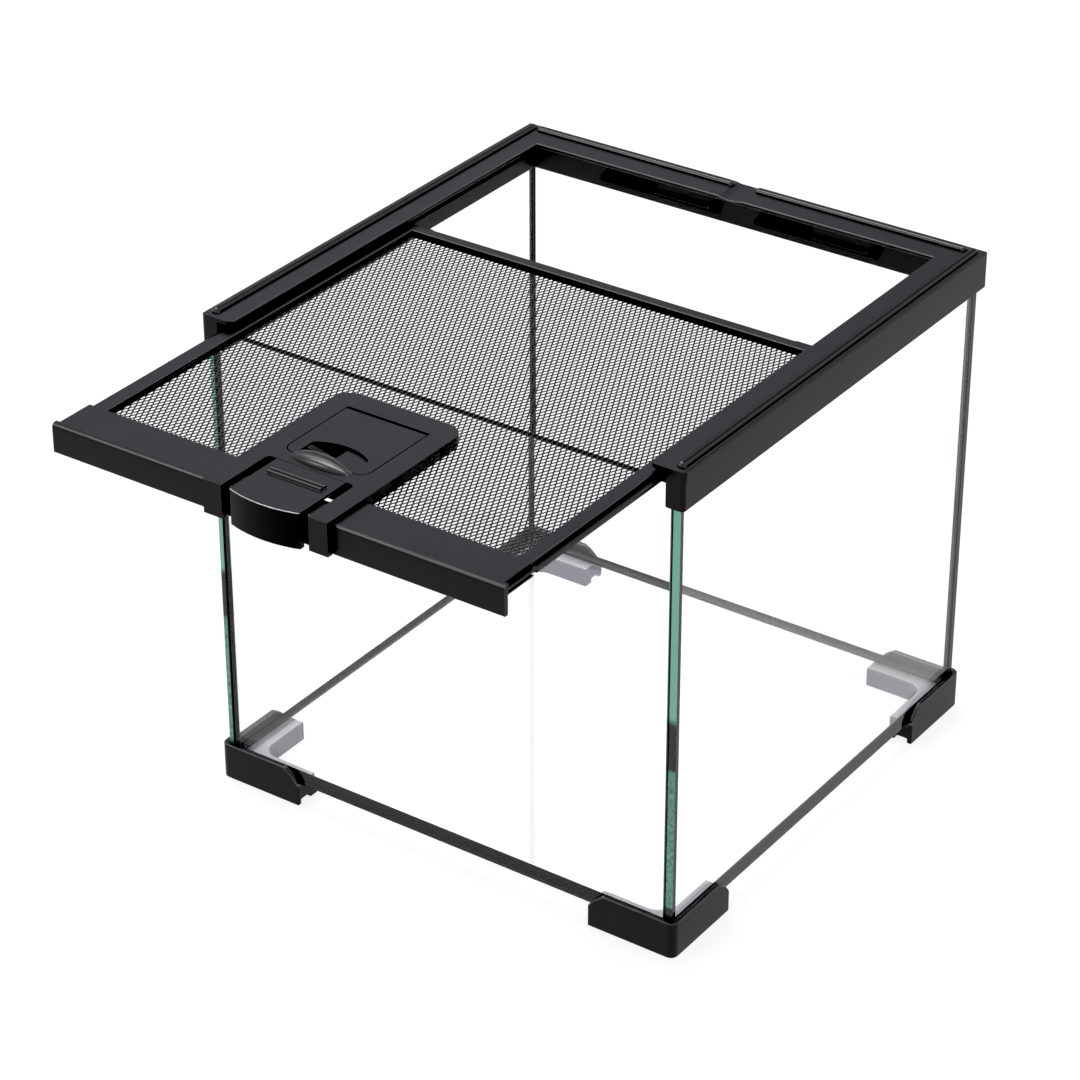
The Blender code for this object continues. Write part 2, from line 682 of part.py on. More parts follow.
def build_front_bar(parent, material):
    """The lid's handle bar: an angle that covers the front pane's edge, with a groove for the mesh."""
    edge = BAR_EDGE
    groove_end = bar_face + BAR_LEG_THICKNESS + FIT
    leg_bottom = bar_top - BAR_LEG_HEIGHT
    web_back = bar_back - BAR_WEB_SETBACK
    leg_back = bar_face + BAR_LEG_THICKNESS
    outline = [(bar_face, leg_bottom + edge)]
    outline += arc((bar_face + BAR_FILLET, bar_top - BAR_FILLET), BAR_FILLET, 180, 90, 4)
    outline += [(bar_back - edge, bar_top), (bar_back, bar_top - edge), (bar_back, mesh_top + FIT),
                (groove_end, mesh_top + FIT), (groove_end, mesh_bottom - FIT), (web_back, mesh_bottom - FIT),
                (web_back, lid_bottom), (leg_back, lid_bottom), (leg_back, leg_bottom + edge),
                (leg_back - edge, leg_bottom), (bar_face + edge, leg_bottom)]
    bar = add_piece("lid_front_bar", prism(outline, -lid_x, lid_x, "x"), material, parent)
    notch_x = tongue_x + SLOT_WIDTH - FIT
    notch = box((-notch_x, bar_back - BAR_NOTCH_LENGTH, mesh_top + FIT / 2),
                (notch_x, bar_back + OVERCUT, bar_top + OVERCUT))
    cuts = [add_tool("bar_notch", notch, parent)]
    for side, word in ((-1, "left"), (1, "right")):
        step = box((side * (lid_x - BAR_END_STEP), bar_face + BAR_END_FRONT, bar_top - BAR_END_DROP),
                   (side * (lid_x + OVERCUT), bar_back + OVERCUT, bar_top + OVERCUT))
        cuts.append(add_tool("bar_end_step_" + word, step, parent))
    combine(bar, "DIFFERENCE", cuts)


def build_mesh(parent, material):
    """Expanded metal, as diamonds that meet corner to corner, with the feeding port left open."""
    half_x = lid_x - LID_LIP - LID_RAIL_WIDTH + LID_MESH_GRIP - FIT
    front = bar_face + BAR_LEG_THICKNESS + 2 * FIT
    back = lid_rear - REAR_LIP - REAR_RAIL_WIDTH + LID_MESH_GRIP - FIT
    step_x = half_x / MESH_COLUMNS
    step_y = (back - front) / (2 * MESH_ROWS)
    diagonal = math.hypot(step_x, step_y)
    inset_x = STRAND_WIDTH / 2 * diagonal / step_y
    inset_y = STRAND_WIDTH / 2 * diagonal / step_x
    hole_x = step_x - inset_x
    hole_y = step_y - inset_y
    middle_y = (front + back) / 2
    shape = bmesh.new()
    for column in range(-MESH_COLUMNS, MESH_COLUMNS + 1):
        for row in range(-MESH_ROWS, MESH_ROWS + 1):
            if (column + row + MESH_COLUMNS + MESH_ROWS) % 2 == 0:
                continue
            x = column * step_x
            y = middle_y + row * step_y
            if inside_port(x, y, step_x, step_y):
                continue
            add_diamond(shape, x, y, (step_x, step_y), (hole_x, hole_y), (half_x, front, back))
    bmesh.ops.remove_doubles(shape, verts=shape.verts, dist=0.00001)
    for vertex in shape.verts:
        vertex.co.z = mesh_bottom
    raised = bmesh.ops.extrude_face_region(shape, geom=list(shape.faces))
    lifted = [item for item in raised["geom"] if isinstance(item, bmesh.types.BMVert)]
    bmesh.ops.translate(shape, verts=lifted, vec=(0.0, 0.0, MESH_THICKNESS))
    add_piece("lid_mesh", shape, material, parent)


def inside_port(x, y, step_x, step_y):
    """Whether a diamond would reach into the feeding port; the housing hides the ragged edge."""
    half = DOOR_WIDTH / 2 - DOOR_RIM
    near = door_front + DOOR_RIM
    far = hinge_y - BARREL_RADIUS
    return abs(x) - step_x < half and near < y + step_y and y - step_y < far


def add_diamond(shape, x, y, size, hole, limits):
    """One diamond of the mesh as a ring of four faces, or a solid half where the sheet ends."""
    half_x, front, back = limits
    ways = ((1, 0), (0, 1), (-1, 0), (0, -1))
    tolerance = 1e-6
    outer = [(x + way[0] * size[0], y + way[1] * size[1]) for way in ways]
    inner = [(x + way[0] * hole[0], y + way[1] * hole[1]) for way in ways]
    whole = all(abs(px) < half_x + tolerance and front - tolerance < py < back + tolerance for px, py in outer)
    if whole:
        for index in range(4):
            after = (index + 1) % 4
            corners = (outer[index], outer[after], inner[after], inner[index])
            shape.faces.new([shape.verts.new((px, py, 0.0)) for px, py in corners])
        return
    kept = [(px, py) for px, py in outer
            if abs(px) < half_x + tolerance and front - tolerance < py < back + tolerance]
    if len(kept) >= 3:
        shape.faces.new([shape.verts.new((px, py, 0.0)) for px, py in kept])


def build_latch_housing(parent, material):
    """The moulding at the middle of the lid: a plate on the mesh and two arms hooked over the bar."""
    half = LATCH_WIDTH / 2
    plate_front = bar_back + FIT
    plate = rounded_rectangle((-half, plate_front), (half, latch_back), (0.0, 0.0, LATCH_CORNER, LATCH_CORNER))
    housing = add_piece("latch_housing", prism(plate, latch_bottom, latch_top, "z"), material, parent)
    arms = []
    for side, word in ((-1, "left"), (1, "right")):
        outline = [(latch_front, latch_top - ARM_DROP), (latch_front + ARM_FRONT, latch_top - ARM_DROP),
                   (latch_front + ARM_FRONT, arm_bottom), (plate_front + SINK, arm_bottom),
                   (plate_front + SINK, latch_top), (latch_front, latch_top)]
        arm = prism(outline, side * (half - ARM_WIDTH), side * half, "x")
        arms.append(add_tool("arm_" + word, arm, parent))
    combine(housing, "UNION", arms)

    slot_x = tongue_x + SLOT_WIDTH
    slot_round = SLOT_WIDTH / 2
    slot = rounded_rectangle((-slot_x, plate_front - OVERCUT), (slot_x, tongue_root),
                             (0.0, 0.0, slot_round, slot_round))
    door_x = DOOR_WIDTH / 2 + HINGE_FIT
    corner = DOOR_FRONT_CORNER + HINGE_FIT
    recess = rounded_rectangle((-door_x, door_front - HINGE_FIT), (door_x, door_back + HINGE_FIT),
                               (corner, corner, 0.0, 0.0))
    seat_height = latch_top - DOOR_THICKNESS - FIT
    port_x = DOOR_WIDTH / 2 - DOOR_RIM
    barrel_front = hinge_y - BARREL_RADIUS - HINGE_FIT
    port = box((-port_x, door_front + DOOR_RIM - HINGE_FIT, latch_bottom - OVERCUT),
               (port_x, barrel_front + SINK, seat_height + OVERCUT / 2))
    pocket = box((-door_x, barrel_front, latch_bottom - OVERCUT),
                 (door_x, door_back + HINGE_FIT, latch_top + OVERCUT))
    bore_end = DOOR_WIDTH / 2 + HINGE_FIT + PIN_SEAT
    bore = rod((hinge_y, hinge_z), PIN_RADIUS + RUNNING_FIT, -bore_end, bore_end, 12)
    combine(housing, "DIFFERENCE", [
        add_tool("tongue_slot", prism(slot, latch_bottom - OVERCUT, latch_top + OVERCUT, "z"), parent),
        add_tool("door_recess", prism(recess, seat_height, latch_top + OVERCUT, "z"), parent),
        add_tool("feeding_port", port, parent),
        add_tool("barrel_pocket", pocket, parent),
        add_tool("pin_bore", bore, parent)])
    round_edges(housing, LATCH_EDGE, 2, 60.0)
    combine(housing, "UNION", [add_tool("housing_dome", dome_shape(), parent)])

    pin_end = bore_end - FIT
    add_piece("door_hinge_pin", rod((hinge_y, hinge_z), PIN_RADIUS, -pin_end, pin_end, 12), STEEL, parent)

    clamp_x = half - CLAMP_MARGIN
    clamp_low = plate_front
    clamp_high = latch_back - CLAMP_MARGIN
    clamp_round = LATCH_CORNER - CLAMP_MARGIN
    clamp = rounded_rectangle((-clamp_x, clamp_low), (clamp_x, clamp_high), (0.0, 0.0, clamp_round, clamp_round))
    under = add_piece("latch_clamp", prism(clamp, lid_bottom, lid_bottom + LID_UNDER_WEB, "z"), material, parent)
    hole = box((-port_x, door_front + DOOR_RIM - HINGE_FIT, lid_bottom - OVERCUT),
               (port_x, barrel_front + SINK, lid_bottom + LID_UNDER_WEB + OVERCUT / 4))
    combine(under, "DIFFERENCE", [add_tool("clamp_hole", hole, parent)])


def tongue_front(x):
    """Y of the tongue's bowed front face."""
    radius = (tongue_x ** 2 + TONGUE_BULGE ** 2) / (2 * TONGUE_BULGE)
    return tongue_tip + radius - math.sqrt(radius ** 2 - x ** 2)


def build_tongue(parent, material):
    """The lock tongue: a springy plate with a bowed front lip, a thumb rib and a lug under it."""
    steps = 10
    bow = []
    for step in range(steps + 1):
        x = -tongue_x + 2 * tongue_x * step / steps
        bow.append((x, tongue_front(x)))
    root = tongue_root - FIT
    plate = bow + [(tongue_x, root), (-tongue_x, root)]
    tongue = add_piece("lock_tongue", prism(plate, arm_bottom, latch_top, "z"), material, parent)
    lip_back = bar_face - FIT
    lip = prism(bow + [(tongue_x, lip_back), (-tongue_x, lip_back)], latch_top - TONGUE_DROP,
                latch_top - TONGUE_EDGE, "z")
    lug_back = bar_back - FIT
    lug = box((-LUG_WIDTH / 2, lug_back - LUG_LENGTH, mesh_top + FIT), (LUG_WIDTH / 2, lug_back, arm_bottom + SINK))
    tools = [add_tool("tongue_lip", lip, parent), add_tool("tongue_lug", lug, parent)]
    first = tongue_root - RIB_SETBACK - RIB_WIDTH - RIB_GAP / 2
    for number in range(2):
        low = first + number * (RIB_WIDTH + RIB_GAP)
        outline = [(low, latch_top - SINK), (low + RIB_WIDTH, latch_top - SINK)]
        outline += [(low + RIB_WIDTH, latch_top + RIB_HEIGHT * 0.5), (low + RIB_WIDTH * 0.7, latch_top + RIB_HEIGHT),
                    (low + RIB_WIDTH * 0.3, latch_top + RIB_HEIGHT), (low, latch_top + RIB_HEIGHT * 0.5)]
        rib = prism(outline, -RIB_LENGTH / 2, RIB_LENGTH / 2, "x")
        tools.append(add_tool("thumb_rib_%d" % (number + 1), rib, parent))
    combine(tongue, "UNION", tools)
    return tongue


def notch(x):
    """How far the door's front edge stands back at a place across it."""
    share = max(-1.0, min(1.0, x / (notch_width / 2)))
    for (low, low_depth), (high, high_depth) in zip(NOTCH_SHAPE, NOTCH_SHAPE[1:]):
        if share <= high:
            return NOTCH_DEPTH * (low_depth + (high_depth - low_depth) * (share - low) / (high - low))
    return 0.0


def notch_line(start, end, offset, nearest=None):
    """Points along the notch between two places across the door, moved back by an offset."""
    places = [start] + [share * notch_width / 2 for share, _ in NOTCH_SHAPE] + [end]
    places = [x for x in places if start <= x <= end]
    places = sorted(set(places))
    if nearest is None:
        nearest = offset
    return [(x, door_front + max(notch(x) + offset, nearest)) for x in places]


def rim_line(start, end, grow):
    """Points along the scoop's bowed far rim, from one place across the door back to another."""
    half = scoop_width / 2
    radius = (half ** 2 + SCOOP_BOW ** 2) / (2 * SCOOP_BOW)
    centre_y = door_front + SCOOP_SIDE + SCOOP_BOW - radius
    steps = 10
    points = []
    for step in range(steps + 1):
        x = end + (start - end) * step / steps
        points.append((x, centre_y + math.sqrt((radius + grow) ** 2 - x ** 2)))
    return points


def scoop_outline(start, end, front, grow, nearest=None):
    """An area of the door between the notch and the scoop's far rim."""
    return notch_line(start, end, front, nearest) + rim_line(start, end, grow)


def build_feeding_door(parent, material):
    """The door: a plate with a hinge barrel, notched around the dome, with a finger scoop behind it."""
    half = DOOR_WIDTH / 2
    corner = DOOR_FRONT_CORNER
    outline = arc((-half + corner, door_front + corner), corner, 180, 270)
    outline += notch_line(-notch_width / 2, notch_width / 2, 0.0)
    outline += arc((half - corner, door_front + corner), corner, 270, 360)
    outline += [(half, hinge_y + DOOR_HEEL), (-half, hinge_y + DOOR_HEEL)]
    door = add_piece("feeding_door", prism(outline, latch_top - DOOR_THICKNESS, latch_top, "z"), material, parent)
    barrel = rod((hinge_y, hinge_z), BARREL_RADIUS, -half, half, 20)
    left = -scoop_width / 2
    scoop_bottom = latch_top - SCOOP_DEPTH
    bowl = prism(scoop_outline(left - SCOOP_WALL, SCOOP_SPLIT + SCOOP_WALL, SCOOP_WALL / 4, SCOOP_WALL, DOOR_RIM),
                 scoop_bottom - SCOOP_WALL, latch_top - DOOR_THICKNESS / 2, "z")
    combine(door, "UNION", [add_tool("door_barrel", barrel, parent), add_tool("scoop_bowl", bowl, parent)])
    hollow = prism(scoop_outline(left, SCOOP_SPLIT, SCOOP_WALL * 1.5, 0.0, DOOR_RIM + SCOOP_WALL), scoop_bottom,
                   latch_top + OVERCUT, "z")
    mouth = prism(scoop_outline(left, SCOOP_SPLIT, -OVERCUT, -SCOOP_WALL), scoop_bottom + SCOOP_FRONT_HEIGHT,
                  latch_top + OVERCUT, "z")
    panel = prism(scoop_outline(SCOOP_SPLIT - SCOOP_WALL, -left, -OVERCUT, 0.0), latch_top - PANEL_DEPTH,
                  latch_top + OVERCUT, "z")
    bore = rod((hinge_y, hinge_z), PIN_RADIUS + RUNNING_FIT, -half - OVERCUT, half + OVERCUT, 12)
    combine(door, "DIFFERENCE", [add_tool("scoop_hollow", hollow, parent), add_tool("scoop_mouth", mouth, parent),
                                 add_tool("scoop_panel", panel, parent), add_tool("door_bore", bore, parent)])
    combine(door, "UNION", [add_tool("door_catch", catch_shape(left), parent)])
    return door


def catch_shape(left):
    """The springy catch: a strip that runs from the scoop's left wall towards its middle, sloping down."""
    sections = []
    steps = 6
    for step in range(steps + 1):
        share = step / steps
        x = left - SCOOP_WALL / 2 + CATCH_LENGTH * share
        near = door_front + CATCH_START + (CATCH_END - CATCH_START - CATCH_WIDTH) * math.sin(share * math.pi / 2)
        top = latch_top - FIT - CATCH_FALL * share ** 1.3
        sections.append([(x, near, top - CATCH_THICKNESS), (x, near, top), (x, near + CATCH_WIDTH, top),
                         (x, near + CATCH_WIDTH, top - CATCH_THICKNESS)])
    return sweep(sections)


def dome_shape():
    """The lens-shaped dome of the housing: it fills the door's notch and rises in front of the scoop."""
    half = dome_width / 2
    base = latch_top - DOOR_THICKNESS
    steps = 20
    sections = []
    for step in range(steps + 1):
        share = -1 + 2 * step / steps
        x = half * share
        front = door_front - DOME_FRONT + (DOME_FRONT - DOME_TIP) * share ** 2
        back = door_front + notch(x) - HINGE_FIT
        rise = DOME_HEIGHT * (1 - share ** 2) ** 0.8
        ridge = front + DOME_RIDGE * (0.45 + 0.55 * (1 - share ** 2))
        section = [(x, front, base), (x, front, latch_top + DOME_EDGE)]
        for turn in (30, 60, 90):
            angle = math.radians(turn)
            section.append((x, ridge + (front - ridge) * math.cos(angle),
                            latch_top + DOME_EDGE + rise * math.sin(angle)))
        for turn in (0.3, 0.55, 0.8, 1.0):
            level = 0.5 + 0.5 * math.cos(math.pi * turn)
            section.append((x, ridge + (back - ridge) * turn, latch_top + DOME_EDGE + rise * level))
        section.append((x, back, base))
        sections.append(section)
    return sweep(sections)


def shade(piece):
    piece.data.shade_smooth()
    piece.data.set_sharp_from_angle(angle=math.radians(35))


clear_scene()
PLASTIC = make_material("black_plastic", (0.022, 0.022, 0.026), 0.38)
CLEAR_GLASS = make_material("float_glass", (0.82, 0.93, 0.89), 0.03, 0.0, 0.9)
SILICONE = make_material("black_silicone", (0.03, 0.03, 0.03), 0.55)
STEEL = make_material("steel", (0.55, 0.55, 0.56), 0.3, 1.0)
BLACK_MESH = make_material("coated_mesh", (0.02, 0.02, 0.022), 0.45, 0.3)

outline_middle = (tongue_tip + foot_back) / 2
root = make_empty("terrarium", (0.0, -outline_middle, 0.0))
build_glass(root, CLEAR_GLASS)
build_seams(root, SILICONE)
for left_or_right, x_word in ((-1, "left"), (1, "right")):
    for front_or_back, y_word in ((-1, "front"), (1, "back")):
        build_foot(left_or_right, front_or_back, "foot_" + y_word + "_" + x_word, root, PLASTIC)
build_top_frame(root, PLASTIC)
build_shutter(-1, "left", root, PLASTIC)
build_shutter(1, "right", root, PLASTIC)

lid = make_empty("lid_axis", (0.0, bar_face, bar_top), root)
build_lid_frame(lid, PLASTIC)
build_front_bar(lid, PLASTIC)
build_mesh(lid, BLACK_MESH)
build_latch_housing(lid, PLASTIC)
tongue_axis = make_empty("tongue_axis", (0.0, tongue_root, (arm_bottom + latch_top) / 2), lid)
build_tongue(tongue_axis, PLASTIC)
door_axis = make_empty("door_axis", (0.0, hinge_y, hinge_z), lid)
build_feeding_door(door_axis, PLASTIC)

for item in bpy.data.objects:
    if item.type == "MESH" and not item.hide_render:
        shade(item)
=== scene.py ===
# Looks of a small glass terrarium whose mesh lid is drawn halfway out, on a white studio floor.
# Units are metres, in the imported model's own frame, and every piece keeps its place in its mesh.
import math

import bpy
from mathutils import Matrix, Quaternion, Vector


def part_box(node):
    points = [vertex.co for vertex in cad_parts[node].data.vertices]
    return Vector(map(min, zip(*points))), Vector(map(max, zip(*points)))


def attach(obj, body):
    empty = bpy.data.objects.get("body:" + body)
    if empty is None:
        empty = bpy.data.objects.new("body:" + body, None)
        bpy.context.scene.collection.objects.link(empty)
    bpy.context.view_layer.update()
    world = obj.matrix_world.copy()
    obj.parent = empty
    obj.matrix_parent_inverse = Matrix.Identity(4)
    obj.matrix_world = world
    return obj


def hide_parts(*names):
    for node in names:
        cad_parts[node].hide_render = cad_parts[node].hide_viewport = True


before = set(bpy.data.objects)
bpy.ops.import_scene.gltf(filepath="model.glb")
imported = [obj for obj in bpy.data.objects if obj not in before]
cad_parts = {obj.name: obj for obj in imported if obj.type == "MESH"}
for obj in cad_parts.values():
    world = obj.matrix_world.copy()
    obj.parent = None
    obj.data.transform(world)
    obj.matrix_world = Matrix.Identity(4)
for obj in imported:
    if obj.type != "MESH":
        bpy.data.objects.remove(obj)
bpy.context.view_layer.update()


# The view
# A long lens looks down on the front right corner. Its place was worked out from the corners of the
# tank, and it is measured from the middle of the top frame at floor level.
frame_low, frame_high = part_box("top_frame")
TANK_MIDDLE = Vector((0.0, (frame_low.y + frame_high.y) / 2, 0.0))
CAMERA_PLACE = Vector((0.6595, -0.9817, 0.7806))
CAMERA_AIM = Vector((-0.0269, 0.0, 0.0807))
CAMERA_ROLL = -0.001
LENS_MM = 120.42
SENSOR_MM = 36.0


def aim_at(place, aim, roll=0.0):
    """The turn of a camera or a lamp that looks from one point to another."""
    turn = (Vector(aim) - Vector(place)).to_track_quat("-Z", "Y")
    return turn @ Quaternion((0.0, 0.0, 1.0), roll)


bpy.ops.object.camera_add(location=TANK_MIDDLE + CAMERA_PLACE)
camera = bpy.context.object
camera.rotation_mode = "QUATERNION"
camera.rotation_quaternion = aim_at(CAMERA_PLACE, CAMERA_AIM, CAMERA_ROLL)
camera.data.lens = LENS_MM
camera.data.sensor_width = SENSOR_MM
bpy.context.scene.camera = camera


# The studio
# A white sweep, lit until it is burnt out, in a darker room. A bluish screen in two halves stands
# behind the tank, where level glass and plastic mirror it to the camera, and two soft boxes draw
# the edges from above.
FLOOR_SIZE = 14.0
FLOOR_WHITE = (0.36, 0.36, 0.36)
FLOOR_GLOW = 0.84
FLOOR_ROUGHNESS = 0.9
BLACK_LEVEL = 0.013
SKY_WHITE = (1.0, 0.975, 0.98)
SKY_STRENGTH = 0.42
SCREEN_DISTANCE = 2.6
SCREEN_HEIGHT = 1.85
SCREEN_HALVES = (("back_screen_left", -0.315, 1.07, 1.85), ("back_screen_right", 0.535, 0.63, 1.1))
SCREEN_DEPTH = 1.0
SCREEN_BLUE = (0.82, 0.83, 1.0)
SOFT_BOXES = (("top_box", (-0.8, 0.4, 2.0), (1.0, 0.9), 4.5),
              ("front_box", (-1.5, -1.6, 2.0), (0.7, 0.6), 5.0))
VIEW_TURN = math.atan2(CAMERA_PLACE.x - CAMERA_AIM.x, CAMERA_AIM.y - CAMERA_PLACE.y)


def soft_box(name, place, aim, size, brightness, colour=(1.0, 1.0, 1.0)):
    """A rectangular lamp of even brightness that faces the tank."""
    bpy.ops.object.light_add(type="AREA", location=place)
    lamp = bpy.context.object
    lamp.name = name
    lamp.rotation_mode = "QUATERNION"
    lamp.rotation_quaternion = aim_at(place, aim)
    lamp.data.shape = "RECTANGLE"
    lamp.data.size, lamp.data.size_y = size
    lamp.data.energy = brightness * math.pi * size[0] * size[1]
    lamp.data.color = colour


def shader_of(material):
    return material.node_tree.nodes["Principled BSDF"]


def new_material(name, colour, roughness, specular=0.5):
    material = bpy.data.materials.new(name)
    material.use_nodes = True
    shader = shader_of(material)
    shader.inputs["Base Color"].default_value = (*colour, 1.0)
    shader.inputs["Roughness"].default_value = roughness
    shader.inputs["Specular IOR Level"].default_value = specular
    return material


world = bpy.data.worlds.new("studio_air")
world.use_nodes = True
world.node_tree.nodes["Background"].inputs["Color"].default_value = (*SKY_WHITE, 1.0)
world.node_tree.nodes["Background"].inputs["Strength"].default_value = SKY_STRENGTH
bpy.context.scene.world = world
view = bpy.context.scene.view_settings
view.view_transform = "Standard"
view.use_curve_mapping = True
view.curve_mapping.black_level = (BLACK_LEVEL,) * 3
view.curve_mapping.update()

screen_way = Vector((-math.sin(VIEW_TURN), math.cos(VIEW_TURN), 0.0))
screen_place = TANK_MIDDLE + screen_way * SCREEN_DISTANCE + Vector((0.0, 0.0, SCREEN_HEIGHT))
screen_side = Vector((math.cos(VIEW_TURN), math.sin(VIEW_TURN), 0.0))
for name, aside, width, brightness in SCREEN_HALVES:
    shift = screen_side * aside
    soft_box(name, screen_place + shift, TANK_MIDDLE + shift, (width, SCREEN_DEPTH), brightness, SCREEN_BLUE)
for name, place, size, brightness in SOFT_BOXES:
    soft_box(name, TANK_MIDDLE + Vector(place), TANK_MIDDLE, size, brightness)

bpy.ops.mesh.primitive_plane_add(size=FLOOR_SIZE, location=TANK_MIDDLE)
floor = bpy.context.object
floor.name = "studio_floor"
floor_paint = new_material("white_sweep", FLOOR_WHITE, FLOOR_ROUGHNESS, 0.0)
shader_of(floor_paint).inputs["Emission Color"].default_value = (1.0, 1.0, 1.0, 1.0)
shader_of(floor_paint).inputs["Emission Strength"].default_value = FLOOR_GLOW
floor.data.materials.append(floor_paint)


# Moulded black plastic
# The top frame, the feet, the lid's members and the latch are injection mouldings in a satin black
# with a very fine spark-eroded grain. Their solids keep their shape: a copy of each has its loose
# triangles joined and its chamfers shaded as round edges. Their slanted faces take a far more
# reflective copy of the black, which paints highlight lines along the edges. The feet's inner steps
# under the floor pane are painted pale: a painted reflection of the back light in the glass.
MERGE = 0.00001
FLAT_ANGLE = math.radians(0.6)
ROUND_ANGLE = math.radians(50)
PLASTIC_BLACK = (0.013, 0.0112, 0.0112)
PLASTIC_ROUGHNESS = 0.34
PLASTIC_SPECULAR = 0.15
EDGE_ROUGHNESS = 0.28
EDGE_SPECULAR = 0.8
EDGE_IOR = 1.65
EDGE_SLANT = 0.93
EDGE_RISE = 0.2
FACES_UP = 0.9
PLASTIC_GRAIN = (0.00022, 0.000006, 0.022)
PLASTIC_SPREAD = 0.06
GRAIN_DETAIL = 2.0
CLOUD_DETAIL = 3.0
FINE_SHARE = 0.4
NOISE_MIDDLE = 0.5
DOOR_ROUNDING = 0.00012
STEP_REFLECTION_WHITE = (0.68, 0.665, 0.68)
STEP_REFLECTION_ROUGHNESS = 0.6
STEP_REFLECTION_SPECULAR = 0.2
STEP_LEVEL_PLAY = 0.001


def new_group(name, inputs, outputs):
    """A shader node group with named values in and out."""
    group = bpy.data.node_groups.new(name, "ShaderNodeTree")
    for word, kind in inputs:
        group.interface.new_socket(word, in_out="INPUT", socket_type=kind)
    for word, kind in outputs:
        group.interface.new_socket(word, in_out="OUTPUT", socket_type=kind)
    return group, group.nodes.new("NodeGroupInput"), group.nodes.new("NodeGroupOutput")


def math_node(nodes, links, operation, first, second):
    """A Math node whose two values are sockets or plain numbers; gives its result."""
    step = nodes.new("ShaderNodeMath")
    step.operation = operation
    for socket, value in zip(step.inputs, (first, second)):
        if isinstance(value, (int, float)):
            socket.default_value = value
        else:
            links.new(value, socket)
    return step.outputs[0]


def noise_node(nodes, links, place, size, detail):
    """Smooth noise whose blotches have a real size in metres."""
    noise = nodes.new("ShaderNodeTexNoise")
    noise.inputs["Detail"].default_value = detail
    links.new(place, noise.inputs["Vector"])
    links.new(math_node(nodes, links, "DIVIDE", 1.0, size), noise.inputs["Scale"])
    return noise.outputs["Fac"]


FLOAT = "NodeSocketFloat"
grain_group, grain_in, grain_out = new_group(
    "surface_grain", (("Place", "NodeSocketVector"), ("Grain Size", FLOAT), ("Cloud Size", FLOAT),
                      ("Roughness", FLOAT), ("Spread", FLOAT)), (("Roughness", FLOAT), ("Height", FLOAT)))
g_nodes, g_links = grain_group.nodes, grain_group.links
fine = noise_node(g_nodes, g_links, grain_in.outputs["Place"], grain_in.outputs["Grain Size"], GRAIN_DETAIL)
cloud = noise_node(g_nodes, g_links, grain_in.outputs["Place"], grain_in.outputs["Cloud Size"], CLOUD_DETAIL)
both = math_node(g_nodes, g_links, "ADD", math_node(g_nodes, g_links, "MULTIPLY", fine, FINE_SHARE), cloud)
centred = math_node(g_nodes, g_links, "SUBTRACT", both, NOISE_MIDDLE * (1.0 + FINE_SHARE))
uneven = math_node(g_nodes, g_links, "MULTIPLY", centred, grain_in.outputs["Spread"])
rough = math_node(g_nodes, g_links, "ADD", uneven, grain_in.outputs["Roughness"])
g_links.new(rough, grain_out.inputs["Roughness"])
g_links.new(fine, grain_out.inputs["Height"])


def grained(material, grain, spread):
    """Gives a material a fine grain and a slightly uneven gloss.

    The three values of the grain are its size, its height and the size of the clouds in the gloss.
    """
    grain_size, grain_height, cloud_size = grain
    nodes, links = material.node_tree.nodes, material.node_tree.links
    shader = shader_of(material)
    roughness = shader.inputs["Roughness"].default_value
    place = nodes.new("ShaderNodeTexCoord")
    group = nodes.new("ShaderNodeGroup")
    group.node_tree = grain_group
    for word, value in (("Grain Size", grain_size), ("Cloud Size", cloud_size),
                        ("Roughness", roughness), ("Spread", spread)):
        group.inputs[word].default_value = value
    bump = nodes.new("ShaderNodeBump")
    bump.inputs["Strength"].default_value = 1.0
    bump.inputs["Distance"].default_value = grain_height
    links.new(place.outputs["Object"], group.inputs["Place"])
    links.new(group.outputs["Roughness"], shader.inputs["Roughness"])
    links.new(group.outputs["Height"], bump.inputs["Height"])
    links.new(bump.outputs["Normal"], shader.inputs["Normal"])
    return material


def select_only(piece):
    bpy.ops.object.select_all(action="DESELECT")
    piece.select_set(True)
    bpy.context.view_layer.objects.active = piece


def apply_modifiers(piece):
    select_only(piece)
    for step in list(piece.modifiers):
        bpy.ops.object.modifier_apply(modifier=step.name)


def moulded_shell(node, name, body, rounding=0.0):
    """A whole-faced copy of a solid that takes its place; its slanted faces get the more reflective black, a
    painted highlight.
    """
    piece = bpy.data.objects.new(name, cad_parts[node].data.copy())
    bpy.context.scene.collection.objects.link(piece)
    piece.data.materials.clear()
    piece.data.materials.append(satin_black)
    piece.data.materials.append(highlight_edge_black)
    select_only(piece)
    bpy.ops.mesh.customdata_custom_splitnormals_clear()
    bpy.ops.object.mode_set(mode="EDIT")
    bpy.ops.mesh.select_all(action="SELECT")
    bpy.ops.mesh.remove_doubles(threshold=MERGE)
    bpy.ops.mesh.dissolve_limited(angle_limit=FLAT_ANGLE)
    bpy.ops.object.mode_set(mode="OBJECT")
    if rounding:
        step = piece.modifiers.new("soft_edges", "BEVEL")
        step.width = rounding
        step.segments = 2
        step.limit_method = "ANGLE"
        step.angle_limit = ROUND_ANGLE
        apply_modifiers(piece)
    bpy.ops.object.shade_smooth_by_angle(angle=ROUND_ANGLE)
    step = piece.modifiers.new("flat_faces_first", "WEIGHTED_NORMAL")
    step.keep_sharp = True
    apply_modifiers(piece)
    for face in piece.data.polygons:
        slanted = abs(face.normal.z) > EDGE_RISE and max(abs(part) for part in face.normal) < EDGE_SLANT
        face.material_index = 1 if slanted else 0
    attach(piece, body)
    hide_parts(node)
    return piece


